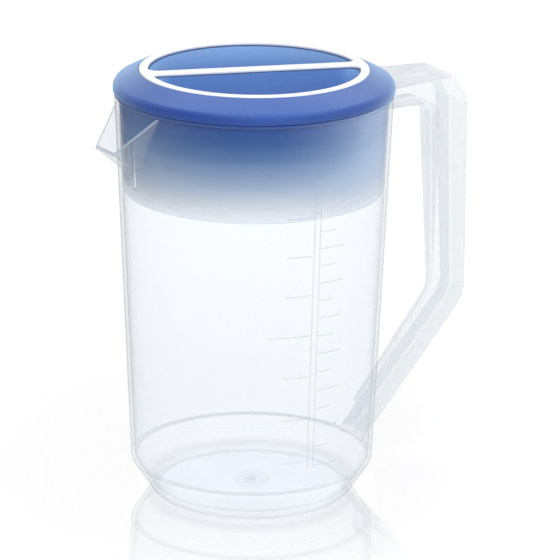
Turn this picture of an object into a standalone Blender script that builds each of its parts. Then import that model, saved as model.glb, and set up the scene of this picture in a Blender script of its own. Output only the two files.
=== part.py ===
"""Two-litre measuring jug with a lid that lifts off and a cap that turns on it.

Metres, +Z up. The jug stands on z = 0 with its handle along +X and its spout along -X.
The origin is under the middle of its bounding box, so the jug's own axis is a little to one side.
"""

import math

import bmesh
import bpy
from mathutils import Matrix, Vector

MM = 0.001
ML = 1e-6

# Fits
GAP = 0.3 * MM  # between two pieces that rest on each other
SLIDE = 0.5 * MM  # between two pieces that slide or turn on each other
THROUGH = 10.0 * MM  # how far a cutter runs past what it cuts

# Jug wall: a cone that widens upward from a corner above the foot
WALL = 1.8 * MM
RIM_HEIGHT = 196.2 * MM
CORNER_RADIUS = 58.4 * MM
CORNER_HEIGHT = 16.1 * MM
WALL_SLOPE = 0.0423  # radius gained for each unit of height
RIM_RADIUS = CORNER_RADIUS + WALL_SLOPE * (RIM_HEIGHT - CORNER_HEIGHT)

# Foot: the wall draws in under the corner and stands on a ring
CHAMFER_INSET = 7.0 * MM
CHAMFER_RADIUS = CORNER_RADIUS - CHAMFER_INSET
CHAMFER_HEIGHT = 5.6 * MM
FOOT_INSET = 9.9 * MM
FOOT_RADIUS = CORNER_RADIUS - FOOT_INSET
FOOT_EDGE = 0.8 * MM
FOOT_RING = 3.0 * MM
FLOOR_TOP = 3.6 * MM
FLOOR = 1.8 * MM

# Mark left where the plastic entered the mould, in the middle of the floor
GATE_RADIUS = 8.8 * MM
GATE_DEPTH = 0.4 * MM
GATE_DOT_RADIUS = 3.2 * MM

# Spout: a hopper of three flat panels with a straight lip, measured from the jug's axis
LIP_LENGTH = 14.4 * MM
LIP_REACH = RIM_RADIUS + LIP_LENGTH
LIP_HALF_WIDTH = 9.0 * MM
LIP_DROP = 17.9 * MM
LIP_HEIGHT = RIM_HEIGHT - LIP_DROP
MOUTH_HALF_WIDTH = 20.8 * MM
THROAT_HALF_WIDTH = 4.5 * MM
THROAT_DROP = 32.0 * MM
THROAT_HEIGHT = RIM_HEIGHT - THROAT_DROP

# Handle: an I-section in the XZ plane, an outer flange and an inner flange on a web
FLANGE = 1.8 * MM
WEB = 2.4 * MM
PLATE_TOP = RIM_HEIGHT - GAP
PLATE_LENGTH = 38.9 * MM
PLATE_END = RIM_RADIUS + PLATE_LENGTH
PLATE_END_HALF_WIDTH = 13.3 * MM
PLATE_ROOT_HALF_WIDTH = 19.4 * MM
SHOULDER_STEP = 7.8 * MM
SHOULDER_REACH = PLATE_END + SHOULDER_STEP
SHOULDER_DROP = 14.4 * MM
SHOULDER_HEIGHT = PLATE_TOP - SHOULDER_DROP
SHOULDER_HALF_WIDTH = 13.1 * MM
KNEE_STEP = 3.1 * MM
KNEE_REACH = SHOULDER_REACH + KNEE_STEP
KNEE_SHARE = 0.415  # height of the knee as a share of the rim's
KNEE_HEIGHT = KNEE_SHARE * RIM_HEIGHT
KNEE_HALF_WIDTH = 9.6 * MM
KNEE_ROUND = 16.0 * MM
STRUT_HALF_WIDTH = 10.0 * MM
ARM_DEPTH = 14.7 * MM
ARM_UNDERSIDE = PLATE_TOP - ARM_DEPTH
ARM_HALF_WIDTH = 8.0 * MM
PALM_DEPTH = 14.5 * MM
PALM_REACH = SHOULDER_REACH - PALM_DEPTH
PALM_ROUND = 8.0 * MM
KNEE_DEPTH = 15.6 * MM
INNER_KNEE_REACH = KNEE_REACH - KNEE_DEPTH
INNER_KNEE_RISE = 4.3 * MM
INNER_KNEE_HEIGHT = KNEE_HEIGHT + INNER_KNEE_RISE
INNER_KNEE_ROUND = 14.0 * MM
STRUT_DEPTH = 16.3 * MM
INNER_STRUT_HEIGHT = CORNER_HEIGHT + STRUT_DEPTH
INNER_STRUT_HALF_WIDTH = 1.7 * MM

# Scale: raised beads beside a twin line, at right angles to the handle
SCALE_ANGLE = math.radians(-92.7)
BEAD_RADIUS = 0.45 * MM
TWIN_HALF_GAP = 1.5 * MM
TWIN_DROP = 8.2 * MM
TWIN_TOP = RIM_HEIGHT - TWIN_DROP
TICK_START = 2.4 * MM
SHORT_TICK = 7.6 * MM
LONG_TICK = 12.7 * MM
MAIN_TICK = 20.2 * MM
FIRST_TICK_HEIGHT = 28.6 * MM
FIRST_TICK_VOLUME = 200 * ML
METRIC_STEP = 100 * ML
METRIC_TICKS = 14
METRIC_MAIN = 10  # the mark at one litre
IMPERIAL_STEP = 227.3 * ML  # eight imperial fluid ounces
IMPERIAL_TICKS = 7
IMPERIAL_MAIN = 4

# Lid: all of it is turned a little from the line of the handle and the spout
LID_ANGLE = math.radians(-18.0)

# Lid sleeve: a milky liner that hangs inside the rim, with strainer slots on the spout's side
SLEEVE = 1.5 * MM
SLEEVE_DEPTH = 46.0 * MM
SLEEVE_BOTTOM = RIM_HEIGHT - SLEEVE_DEPTH
SLEEVE_FLANGE = 1.5 * MM
SLEEVE_UPSTAND = 1.6 * MM
SLOT_WIDTH = 4.5 * MM
SLOT_RISE = 5.8 * MM
SLOT_LOW = SLEEVE_BOTTOM + SLOT_RISE
SLOT_DROP = 15.2 * MM
SLOT_HIGH = RIM_HEIGHT - SLOT_DROP
SLOT_COUNT = 4
SLOT_PITCH = math.radians(8.7)

# Lid cap: a sloping collar round a bowl for the fingers, with a bar across it
COLLAR_OVERHANG = 0.7 * MM
COLLAR_RADIUS = RIM_RADIUS + COLLAR_OVERHANG
COLLAR_WIDTH = 12.3 * MM
COLLAR_BAND = 2.2 * MM
COLLAR_ROUND = 4.0 * MM
CAP_WALL = 1.8 * MM
LAND_RISE = 10.7 * MM
LAND_HEIGHT = RIM_HEIGHT + LAND_RISE
BAR_WIDTH = 6.0 * MM

# Grip trim: a ring with a bar across it, laid on the cap
TRIM = 1.6 * MM
TRIM_OUTER_RADIUS = COLLAR_RADIUS - COLLAR_WIDTH
TRIM_WIDTH = 4.9 * MM
TRIM_INNER_RADIUS = TRIM_OUTER_RADIUS - TRIM_WIDTH
TRIM_BAR_WIDTH = 7.1 * MM
TRIM_FILLET = 4.5 * MM
TRIM_EDGE = 0.6 * MM

# Bowl of the cap, under the trim
BOWL_LEDGE = 0.2 * MM
BOWL_RADIUS = TRIM_INNER_RADIUS - BOWL_LEDGE
BOWL_DEPTH = 46.9 * MM
BOWL_FLOOR = LAND_HEIGHT - BOWL_DEPTH
BOWL_TAPER = 5.3 * MM
BOWL_FLOOR_RADIUS = BOWL_RADIUS - BOWL_TAPER
BOWL_ROUND = 14.0 * MM

# Fineness of the curved faces
TURN_STEPS = 72
ROUND_STEPS = 5
BEAD_STEP = 3.0 * MM
SMOOTH_ANGLE = math.radians(32)


def wall_radius(height):
    """Outer radius of the jug's wall."""
    return CORNER_RADIUS + WALL_SLOPE * (height - CORNER_HEIGHT)


def tick_height(volume):
    """Height on the wall at which the jug holds this volume."""
    first = wall_radius(FIRST_TICK_HEIGHT) - WALL
    added = 3 * WALL_SLOPE * (volume - FIRST_TICK_VOLUME) / math.pi
    return FIRST_TICK_HEIGHT + ((first**3 + added) ** (1 / 3) - first) / WALL_SLOPE


def offset_path(points, distance):
    """Moves an outline to the left of its direction and keeps its corners sharp."""
    points = [Vector(p) for p in points]
    sides = []
    for a, b in zip(points, points[1:]):
        along = (b - a).normalized()
        sides.append(Vector((-along.y, along.x)))
    moved = []
    for i, point in enumerate(points):
        both = sides[max(i - 1, 0)] + sides[min(i, len(sides) - 1)]
        moved.append(point + both * (2 * distance / both.length_squared))
    return moved


def rounded_path(corners):
    """Rounds an outline of (x, z, radius) corners. A corner of radius 0 stays sharp."""
    points = []
    for i, (x, z, radius) in enumerate(corners):
        here = Vector((x, z))
        if not radius:
            points.append(here)
            continue
        back = (Vector(corners[i - 1][:2]) - here).normalized()
        ahead = (Vector(corners[i + 1][:2]) - here).normalized()
        half = back.angle(ahead) / 2
        centre = here + (back + ahead).normalized() * (radius / math.sin(half))
        start = (here + back * (radius / math.tan(half)) - centre).normalized()
        end = (here + ahead * (radius / math.tan(half)) - centre).normalized()
        for step in range(ROUND_STEPS + 1):
            points.append(centre + start.slerp(end, step / ROUND_STEPS) * radius)
    return points


def plastic(name, colour, roughness, transmission):
    """Principled material of a moulded plastic."""
    material = bpy.data.materials.new(name)
    material.use_nodes = True
    shader = material.node_tree.nodes["Principled BSDF"]
    shader.inputs["Base Color"].default_value = (*colour, 1.0)
    shader.inputs["Roughness"].default_value = roughness
    shader.inputs["Metallic"].default_value = 0.0
    shader.inputs["Transmission Weight"].default_value = transmission
    return material


def add_object(name, data, collection, parent):
    """Links a new object into a collection, under the empty on the jug's axis."""
    obj = bpy.data.objects.new(name, data)
    collection.objects.link(obj)
    obj.parent = parent
    return obj


def as_cutter(obj):
    """Marks a shape that only cuts or joins others."""
    obj.hide_render = True
    obj.display_type = "WIRE"
    return obj


def smooth(mesh):
    """Shades a mesh smooth and keeps its sharp edges."""
    mesh.shade_smooth()
    mesh.set_sharp_from_angle(angle=SMOOTH_ANGLE)


def turned(name, profile, collection, parent):
    """Turns an open profile of (radius, height) points round the jug's axis."""
    mesh = bpy.data.meshes.new(name)
    verts = [(r, 0.0, z) for r, z in profile]
    edges = [(i, i + 1) for i in range(len(verts) - 1)]
    mesh.from_pydata(verts, edges, [])
    obj = add_object(name, mesh, collection, parent)
    screw = obj.modifiers.new("Turn", "SCREW")
    screw.axis = "Z"
    screw.steps = TURN_STEPS
    screw.render_steps = TURN_STEPS
    screw.use_merge_vertices = True
    screw.merge_threshold = 0.00005
    screw.use_smooth_shade = True
    return obj


def boolean(obj, other, operation):
    """Joins or cuts an object with another."""
    modifier = obj.modifiers.new(other.name, "BOOLEAN")
    modifier.operation = operation
    modifier.solver = "EXACT"
    modifier.object = other


def from_curve(name, curve, collection, parent, matrix):
    """Makes a closed mesh object of a curve, with its caps welded."""
    guide = bpy.data.objects.new(name + "_curve", curve)
    collection.objects.link(guide)
    guide.matrix_world = matrix
    bpy.context.view_layer.update()
    evaluated = guide.evaluated_get(bpy.context.evaluated_depsgraph_get())
    mesh = bpy.data.meshes.new_from_object(evaluated)
    mesh.name = name
    welded = bmesh.new()
    welded.from_mesh(mesh)
    bmesh.ops.remove_doubles(welded, verts=welded.verts, dist=0.00001)
    bmesh.ops.recalc_face_normals(welded, faces=welded.faces)
    welded.transform(matrix)
    welded.to_mesh(mesh)
    welded.free()
    bpy.data.objects.remove(guide)
    return add_object(name, mesh, collection, parent)


def flat_outline(name, outlines, thickness, matrix, collection, parent):
    """Fills flat outlines, the later ones as holes in the first, and gives them a thickness."""
    curve = bpy.data.curves.new(name, "CURVE")
    curve.dimensions = "2D"
    curve.fill_mode = "BOTH"
    curve.extrude = thickness / 2
    for outline in outlines:
        spline = curve.splines.new("POLY")
        spline.points.add(len(outline) - 1)
        for point, (x, y) in zip(spline.points, outline):
            point.co = (x, y, 0.0, 1.0)
        spline.use_cyclic_u = True
    return from_curve(name, curve, collection, parent, matrix)


def beads(name, paths, collection, parent):
    """Round beads along paths of 3-D points."""
    curve = bpy.data.curves.new(name, "CURVE")
    curve.dimensions = "3D"
    curve.bevel_depth = BEAD_RADIUS
    curve.bevel_resolution = 1
    curve.use_fill_caps = True
    for path in paths:
        spline = curve.splines.new("POLY")
        spline.points.add(len(path) - 1)
        for point, place in zip(spline.points, path):
            point.co = (*place, 1.0)
    return as_cutter(from_curve(name, curve, collection, parent, Matrix()))


def block(name, size, matrix, collection, parent):
    """A box that cuts others, placed by a matrix about the jug's axis."""
    mesh = bpy.data.meshes.new(name)
    box = bmesh.new()
    bmesh.ops.create_cube(box, size=1.0, matrix=matrix @ Matrix.Diagonal((*size, 1.0)))
    box.to_mesh(mesh)
    box.free()
    return as_cutter(add_object(name, mesh, collection, parent))


def shell(name, verts, faces, thickness, offset, collection, parent):
    """Gives an open surface a thickness."""
    mesh = bpy.data.meshes.new(name)
    mesh.from_pydata(verts, [], faces)
    obj = add_object(name, mesh, collection, parent)
    solidify = obj.modifiers.new("Thickness", "SOLIDIFY")
    solidify.thickness = thickness
    solidify.offset = offset
    solidify.use_even_offset = True
    return obj


def strip(name, points, half_widths, collection, parent):
    """A flange: a band along an outline in the XZ plane, as wide as it says at each point."""
    verts = []
    for (x, z), half in zip(points, half_widths):
        verts.append((x, -half, z))
        verts.append((x, half, z))
    faces = [(i, i + 2, i + 3, i + 1) for i in range(0, len(verts) - 2, 2)]
    return as_cutter(shell(name, verts, faces, FLANGE, 0.0, collection, parent))


def on_wall(height, arc):
    """Point on the wall at an arc length beside the middle of the scale."""
    radius = wall_radius(height)
    angle = SCALE_ANGLE + arc / radius
    return (radius * math.cos(angle), radius * math.sin(angle), height)


def tick_path(volume, start, length):
    """Points of one mark of the scale, from its end beside the twin line."""
    height = tick_height(volume)
    steps = max(1, round(abs(length) / BEAD_STEP))
    return [on_wall(height, start + length * i / steps) for i in range(steps + 1)]


def scale_ticks():
    """Marks for each 100 ml on one side, and for each 8 fluid ounces on the other."""
    paths = []
    for i in range(METRIC_TICKS):
        volume = FIRST_TICK_VOLUME + i * METRIC_STEP
        number = round(volume / METRIC_STEP)
        length = SHORT_TICK if number % 2 else LONG_TICK
        if number == METRIC_MAIN:
            length = MAIN_TICK
        paths.append(tick_path(volume, TICK_START, length))
    for i in range(1, IMPERIAL_TICKS + 1):
        length = MAIN_TICK if i == IMPERIAL_MAIN else LONG_TICK
        paths.append(tick_path(i * IMPERIAL_STEP, -TICK_START, -length))
    return paths


def twin_lines():
    """The two upright lines between the scales."""
    low = FIRST_TICK_HEIGHT - TICK_START
    sides = (-TWIN_HALF_GAP, TWIN_HALF_GAP)
    return [[on_wall(TWIN_TOP, side), on_wall(low, side)] for side in sides]


def jug_body(parts, cutters, axis):
    """The cup: wall, foot, floor, the notch behind the spout and the raised scale."""
    outer = [
        (RIM_RADIUS, RIM_HEIGHT),
        (CORNER_RADIUS, CORNER_HEIGHT),
        (CHAMFER_RADIUS, CHAMFER_HEIGHT),
        (FOOT_RADIUS, FOOT_EDGE),
    ]
    inner = offset_path(outer, -WALL)
    rim_inner = (RIM_RADIUS - WALL, RIM_HEIGHT)
    foot = inner[3]
    slope = (inner[2].x - foot.x) / (inner[2].y - foot.y)
    floor_radius = foot.x + slope * (FLOOR_TOP - foot.y)
    ring = FOOT_RADIUS - FOOT_EDGE
    profile = [
        (0.0, FLOOR_TOP),
        (GATE_DOT_RADIUS, FLOOR_TOP),
        (GATE_DOT_RADIUS + GATE_DEPTH, FLOOR_TOP - GATE_DEPTH),
        (GATE_RADIUS - GATE_DEPTH, FLOOR_TOP - GATE_DEPTH),
        (GATE_RADIUS, FLOOR_TOP),
        (floor_radius, FLOOR_TOP),
        tuple(inner[2]),
        tuple(inner[1]),
        rim_inner,
        *outer,
        (ring, 0.0),
        (ring - FOOT_RING, 0.0),
        (ring - FOOT_RING - FLOOR / 2, FLOOR_TOP - FLOOR),
        (0.0, FLOOR_TOP - FLOOR),
    ]
    body = turned("jug_body", profile, parts, axis)

    # The notch follows the inside of the spout's panels
    throat = (THROAT_HALF_WIDTH - WALL, THROAT_HEIGHT + WALL)
    mouth = (MOUTH_HALF_WIDTH - WALL, RIM_HEIGHT)
    rise = (mouth[0] - throat[0]) / (mouth[1] - throat[1])
    top = (mouth[0] + rise * THROUGH, RIM_HEIGHT + THROUGH)
    notch_outline = [(-throat[0], throat[1]), throat, top, (-top[0], top[1])]
    facing_spout = Matrix.Translation((-CORNER_RADIUS, 0, 0)) @ Matrix(
        ((0, 0, 1, 0), (1, 0, 0, 0), (0, 1, 0, 0), (0, 0, 0, 1))
    )
    notch = flat_outline("spout_notch", [notch_outline], 2 * LIP_HALF_WIDTH, facing_spout, cutters, axis)
    boolean(body, as_cutter(notch), "DIFFERENCE")
    boolean(body, beads("scale_beads", scale_ticks(), cutters, axis), "UNION")
    boolean(body, beads("twin_line_beads", twin_lines(), cutters, axis), "UNION")
    return body


def wall_plug(cutters, axis):
    """A solid cone just larger than the wall, which trims what stands against it."""
    low, high = -THROUGH, RIM_HEIGHT + THROUGH
    profile = [(0.0, high), (wall_radius(high) + GAP, high), (wall_radius(low) + GAP, low), (0.0, low)]
    return as_cutter(turned("wall_plug", profile, cutters, axis))


def spout(plug, parts, axis):
    """Three flat panels from the wall to the lip, trimmed to the wall."""
    lip = Vector((-LIP_REACH, LIP_HALF_WIDTH, LIP_HEIGHT))
    mouth = Vector((-math.sqrt(RIM_RADIUS**2 - MOUTH_HALF_WIDTH**2), MOUTH_HALF_WIDTH, RIM_HEIGHT))
    throat = Vector((-wall_radius(THROAT_HEIGHT), THROAT_HALF_WIDTH, THROAT_HEIGHT))
    mouth_end = mouth + (mouth - lip).normalized() * THROUGH / 2
    throat_end = throat + (throat - lip).normalized() * THROUGH / 2
    flip = Vector((1, -1, 1))
    verts = [lip, mouth_end, throat_end, lip * flip, mouth_end * flip, throat_end * flip]
    faces = [(0, 2, 5, 3), (0, 1, 2), (3, 5, 4)]
    obj = shell("pouring_spout", verts, faces, WALL, -1.0, parts, axis)
    boolean(obj, plug, "DIFFERENCE")
    return obj


def handle_paths():
    """Middle lines of the outer and inner flanges, in the XZ plane, with their half widths."""
    root = CORNER_RADIUS - FLANGE
    strut_slope = (KNEE_HEIGHT - CORNER_HEIGHT) / (KNEE_REACH - CORNER_RADIUS)
    flare = (PLATE_ROOT_HALF_WIDTH - PLATE_END_HALF_WIDTH) / (PLATE_END - wall_radius(PLATE_TOP))
    outer_corners = [
        (root, PLATE_TOP, 0.0),
        (PLATE_END, PLATE_TOP, 0.0),
        (SHOULDER_REACH, SHOULDER_HEIGHT, 0.0),
        (KNEE_REACH, KNEE_HEIGHT, KNEE_ROUND),
        (root, CORNER_HEIGHT - FLANGE * strut_slope, 0.0),
    ]
    outer = offset_path(rounded_path(outer_corners), -FLANGE / 2)
    root_half = PLATE_END_HALF_WIDTH + flare * (PLATE_END - root)
    outer_half = [root_half, PLATE_END_HALF_WIDTH, SHOULDER_HALF_WIDTH]
    outer_half += [KNEE_HALF_WIDTH] * (ROUND_STEPS + 1) + [STRUT_HALF_WIDTH]
    inner_slope = (INNER_KNEE_HEIGHT - INNER_STRUT_HEIGHT) / (INNER_KNEE_REACH - CORNER_RADIUS)
    inner_corners = [
        (root, ARM_UNDERSIDE, 0.0),
        (PALM_REACH, ARM_UNDERSIDE, PALM_ROUND),
        (INNER_KNEE_REACH, INNER_KNEE_HEIGHT, INNER_KNEE_ROUND),
        (root, INNER_STRUT_HEIGHT - FLANGE * inner_slope, 0.0),
    ]
    inner = offset_path(rounded_path(inner_corners), FLANGE / 2)
    inner_half = [ARM_HALF_WIDTH] * (ROUND_STEPS + 2) + [INNER_STRUT_HALF_WIDTH] * (ROUND_STEPS + 2)
    return outer, outer_half, inner, inner_half


def handle(plug, parts, cutters, axis):
    """Web and two flanges joined, then trimmed to the wall."""
    outer, outer_half, inner, inner_half = handle_paths()
    upright = Matrix.Rotation(math.radians(90), 4, "X")
    web = flat_outline("carry_handle", [outer + inner[::-1]], WEB, upright, parts, axis)
    boolean(web, strip("outer_flange", outer, outer_half, cutters, axis), "UNION")
    boolean(web, strip("inner_flange", inner, inner_half, cutters, axis), "UNION")
    boolean(web, plug, "DIFFERENCE")
    return web


def sleeve_radius(height):
    """Outer radius of the sleeve, which follows the inside of the wall."""
    return wall_radius(height) - WALL - SLIDE


def lid_sleeve(parts, cutters, axis):
    """A liner with a flange on the rim, an upstand inside the cap and slots at one end of the bar."""
    flange_low = RIM_HEIGHT + GAP
    flange_high = flange_low + SLEEVE_FLANGE
    upstand = COLLAR_RADIUS - CAP_WALL - SLIDE
    inside = sleeve_radius(flange_low) - SLEEVE
    profile = [
        (upstand - SLEEVE, flange_high + SLEEVE_UPSTAND),
        (upstand, flange_high + SLEEVE_UPSTAND),
        (upstand, flange_high),
        (RIM_RADIUS, flange_high),
        (RIM_RADIUS, flange_low),
        (sleeve_radius(flange_low), flange_low),
        (sleeve_radius(SLEEVE_BOTTOM), SLEEVE_BOTTOM),
        (sleeve_radius(SLEEVE_BOTTOM) - SLEEVE, SLEEVE_BOTTOM),
        (inside, flange_low),
        (upstand - SLEEVE, flange_high + SLEEVE_UPSTAND),
    ]
    obj = turned("lid_sleeve", profile, parts, axis)
    for i in range(SLOT_COUNT):
        angle = LID_ANGLE + math.pi + (i - (SLOT_COUNT - 1) / 2) * SLOT_PITCH
        place = Matrix.Rotation(angle, 4, "Z")
        place = place @ Matrix.Translation((sleeve_radius(SLOT_LOW), 0, (SLOT_LOW + SLOT_HIGH) / 2))
        size = (2 * THROUGH, SLOT_WIDTH, SLOT_HIGH - SLOT_LOW)
        slot = block(f"strainer_slot_{i + 1}", size, place, cutters, axis)
        boolean(obj, slot, "DIFFERENCE")
    return obj


def bowl_profile(inset):
    """Inside of the cap's bowl from its floor up to the land, moved into its wall by inset."""
    corners = [
        (0.0, BOWL_FLOOR, 0.0),
        (BOWL_FLOOR_RADIUS, BOWL_FLOOR, BOWL_ROUND),
        (BOWL_RADIUS, LAND_HEIGHT, 0.0),
    ]
    return offset_path(rounded_path(corners), -inset)


def lid_bowl(parts, axis):
    """The cap's bowl, up to the land on which the trim lies."""
    outside = bowl_profile(CAP_WALL)
    profile = [(p.x, p.y) for p in bowl_profile(0.0)]
    profile += [(outside[-1].x, LAND_HEIGHT)]
    profile += [(p.x, p.y) for p in outside[-2::-1]]
    return turned("lid_bowl", profile, parts, axis)


def lid_collar(parts, axis):
    """The cap's collar: a recess for the trim, a slope and a band that stands over the rim."""
    collar_low = RIM_HEIGHT + SLEEVE_FLANGE + 2 * GAP
    recess = TRIM_OUTER_RADIUS + GAP
    neck = bowl_profile(CAP_WALL)[-1].x + GAP
    slope = [
        (recess, LAND_HEIGHT + TRIM, 0.0),
        (COLLAR_RADIUS, collar_low + COLLAR_BAND + COLLAR_ROUND / 2, COLLAR_ROUND),
        (COLLAR_RADIUS, collar_low, 0.0),
    ]
    collar = rounded_path(slope)
    under = offset_path(collar, -CAP_WALL)
    profile = [(neck, LAND_HEIGHT), (recess, LAND_HEIGHT)]
    profile += [(p.x, p.y) for p in collar]
    profile += [(p.x, p.y) for p in under[:0:-1]]
    profile += [(neck, LAND_HEIGHT - CAP_WALL), (neck, LAND_HEIGHT)]
    return turned("lid_collar", profile, parts, axis)


def finger_bar(parts, cutters, axis):
    """The bar: a slab of the space inside the bowl, up to the land."""
    profile = [(0.0, LAND_HEIGHT)]
    profile += [(p.x, p.y) for p in bowl_profile(-GAP)[::-1]]
    bar = turned("finger_bar", profile, parts, axis)
    across = 2 * (COLLAR_RADIUS + THROUGH)
    tall = 2 * (LAND_HEIGHT - BOWL_FLOOR + THROUGH)
    place = Matrix.Translation((0, 0, LAND_HEIGHT)) @ Matrix.Rotation(LID_ANGLE, 4, "Z")
    slab = block("bar_slab", (across, BAR_WIDTH, tall), place, cutters, axis)
    boolean(bar, slab, "INTERSECT")
    return bar


def half_ring(side):
    """One of the two openings in the trim: a half disc with rounded corners."""
    bar = TRIM_BAR_WIDTH / 2
    reach = TRIM_INNER_RADIUS - TRIM_FILLET
    rise = bar + TRIM_FILLET
    corner = Vector((math.sqrt(reach**2 - rise**2), rise))
    end_angle = math.atan2(corner.y, corner.x)
    steps = TURN_STEPS // 2
    outline = []
    for i in range(steps + 1):
        angle = end_angle + (math.pi - 2 * end_angle) * i / steps
        outline.append(Vector((math.cos(angle), math.sin(angle))) * TRIM_INNER_RADIUS)
    turn = end_angle + math.pi / 2
    for i in range(1, ROUND_STEPS + 1):
        angle = math.pi - end_angle + turn * i / ROUND_STEPS
        around = Vector((math.cos(angle), math.sin(angle))) * TRIM_FILLET
        outline.append(Vector((-corner.x, corner.y)) + around)
    for i in range(ROUND_STEPS):
        angle = -math.pi / 2 + turn * i / ROUND_STEPS
        around = Vector((math.cos(angle), math.sin(angle))) * TRIM_FILLET
        outline.append(corner + around)
    return [(p.x, side * p.y) for p in outline]


def grip_trim(parts, axis):
    """A flat ring with a bar across it and rounded edges, laid in the collar's recess."""
    rim = []
    for i in range(TURN_STEPS):
        angle = 2 * math.pi * i / TURN_STEPS
        rim.append((TRIM_OUTER_RADIUS * math.cos(angle), TRIM_OUTER_RADIUS * math.sin(angle)))
    middle = LAND_HEIGHT + GAP + TRIM / 2
    place = Matrix.Translation((0, 0, middle)) @ Matrix.Rotation(LID_ANGLE, 4, "Z")
    obj = flat_outline("grip_trim", [rim, half_ring(1), half_ring(-1)], TRIM, place, parts, axis)
    bevel = obj.modifiers.new("Edges", "BEVEL")
    bevel.width = TRIM_EDGE
    bevel.segments = 2
    bevel.limit_method = "ANGLE"
    bevel.angle_limit = math.radians(60)
    return obj


def main():
    for obj in list(bpy.data.objects):
        bpy.data.objects.remove(obj)
    parts = bpy.data.collections.new("measuring_jug")
    cutters = bpy.data.collections.new("cutters")
    for collection in (parts, cutters):
        bpy.context.scene.collection.children.link(collection)

    # The jug's axis stands so that the spout and the handle reach equally far from the origin
    outer = handle_paths()[0]
    handle_reach = max(p.x for p in outer) + FLANGE / 2
    axis = bpy.data.objects.new("jug_axis", None)
    parts.objects.link(axis)

    plug = wall_plug(cutters, axis)
    natural = plastic("natural_polypropylene", (0.86, 0.88, 0.90), 0.25, 0.6)
    blue = plastic("blue_polypropylene", (0.11, 0.22, 0.56), 0.3, 0.0)
    white = plastic("white_polypropylene", (0.92, 0.92, 0.93), 0.3, 0.0)
    pieces = (
        (jug_body(parts, cutters, axis), natural),
        (spout(plug, parts, axis), natural),
        (handle(plug, parts, cutters, axis), natural),
        (lid_sleeve(parts, cutters, axis), natural),
        (lid_collar(parts, axis), blue),
        (lid_bowl(parts, axis), blue),
        (finger_bar(parts, cutters, axis), blue),
        (grip_trim(parts, axis), white),
    )
    for piece, material in pieces:
        piece.data.materials.append(material)
        smooth(piece.data)
    axis.location.x = (LIP_REACH - handle_reach) / 2


main()
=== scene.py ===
"""A two-litre measuring jug of translucent plastic with a blue lid, dressed on its packed solids.

Lengths are in metres in the frame's own axes: Z up, the spout towards -X, the handle towards +X.
Radii and reaches are measured from the jug's axis, which stands at AXIS.
"""

import math

import bmesh
import bpy
from bpy.props import FloatProperty, FloatVectorProperty, IntProperty, PointerProperty
from mathutils import Matrix, Vector


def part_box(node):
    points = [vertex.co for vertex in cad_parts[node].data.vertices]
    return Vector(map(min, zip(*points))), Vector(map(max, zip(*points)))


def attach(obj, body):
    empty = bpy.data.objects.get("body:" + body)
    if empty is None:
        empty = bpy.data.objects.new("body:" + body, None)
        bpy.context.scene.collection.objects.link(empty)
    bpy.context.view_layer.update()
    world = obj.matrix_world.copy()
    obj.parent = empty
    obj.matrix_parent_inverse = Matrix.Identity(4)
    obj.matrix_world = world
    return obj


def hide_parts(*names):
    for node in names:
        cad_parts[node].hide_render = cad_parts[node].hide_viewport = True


bl_info = {
    "name": "Measuring jug",
    "version": (1, 0, 0),
    "blender": (4, 5, 0),
    "location": "View3D > Sidebar > Jug",
    "description": "Builds a lidded measuring jug, its stage and its camera",
    "category": "Add Mesh",
}

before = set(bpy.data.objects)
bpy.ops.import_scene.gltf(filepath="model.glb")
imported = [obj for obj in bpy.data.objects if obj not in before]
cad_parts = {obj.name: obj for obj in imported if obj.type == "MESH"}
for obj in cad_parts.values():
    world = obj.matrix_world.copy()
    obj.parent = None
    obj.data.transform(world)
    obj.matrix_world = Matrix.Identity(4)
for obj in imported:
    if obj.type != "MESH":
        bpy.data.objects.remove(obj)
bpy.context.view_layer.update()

MM = 0.001
ML = 1e-6
COLLAR_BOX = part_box("lid_collar")
AXIS = Vector(((COLLAR_BOX[0].x + COLLAR_BOX[1].x) / 2, 0.0, 0.0))
TURN_STEPS = 160
ROUND_STEPS = 5
FINE_STEPS = 8
HANDLE_STEPS = 9
BEAD_SIDES = 10
SMOOTH_ANGLE = math.radians(32)
EASED_ANGLE = math.radians(60)
MERGE_DISTANCE = 0.004 * MM
METRIC_STEP = 100 * ML
FIRST_VOLUME = 200 * ML
IMPERIAL_STEP = 227.3 * ML
PLASTIC_IOR = 1.49
# Places of the plastics among a piece's materials, after its first one
SPOUT_PLACE, EDGE_PLACE, HANDLE_PLACE, WEB_PLACE = 1, 2, 3, 4
PAINTED_LIGHT_PLACE = 1


def linear(code):
    """The linear colour of an sRGB hex code, with full alpha."""
    channels = [int(code[i : i + 2], 16) / 255 for i in (1, 3, 5)]
    return (*[c / 12.92 if c <= 0.04045 else ((c + 0.055) / 1.055) ** 2.4 for c in channels], 1.0)


def length(name, millimetres, description):
    """A size in the sidebar, written here in millimetres."""
    return FloatProperty(
        name=name, description=description, default=millimetres * MM, min=0.0, unit="LENGTH", precision=4
    )


def angular(name, degrees, description):
    """An angle in the sidebar, written here in degrees."""
    return FloatProperty(name=name, description=description, default=math.radians(degrees), subtype="ANGLE")


def count(name, number, description):
    """A number of like pieces in the sidebar."""
    return IntProperty(name=name, description=description, default=number, min=1)


def power(name, watts, description):
    """A lamp's power in the sidebar, written here in watts."""
    return FloatProperty(name=name, description=description, default=watts, min=0.0, unit="POWER")


def portion(name, value, description):
    """A share in the sidebar, from none to all."""
    return FloatProperty(
        name=name, description=description, default=value, min=0.0, max=1.0, subtype="FACTOR"
    )


def direction(name, value, description, **options):
    """A place, a turn or a direction in the sidebar."""
    return FloatVectorProperty(name=name, description=description, default=value, size=3, **options)


def colour(name, code, description):
    """A colour in the sidebar, written here as an sRGB hex code."""
    return FloatVectorProperty(
        name=name, description=description, default=linear(code), size=4, min=0.0, max=1.0, subtype="COLOR"
    )


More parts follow.
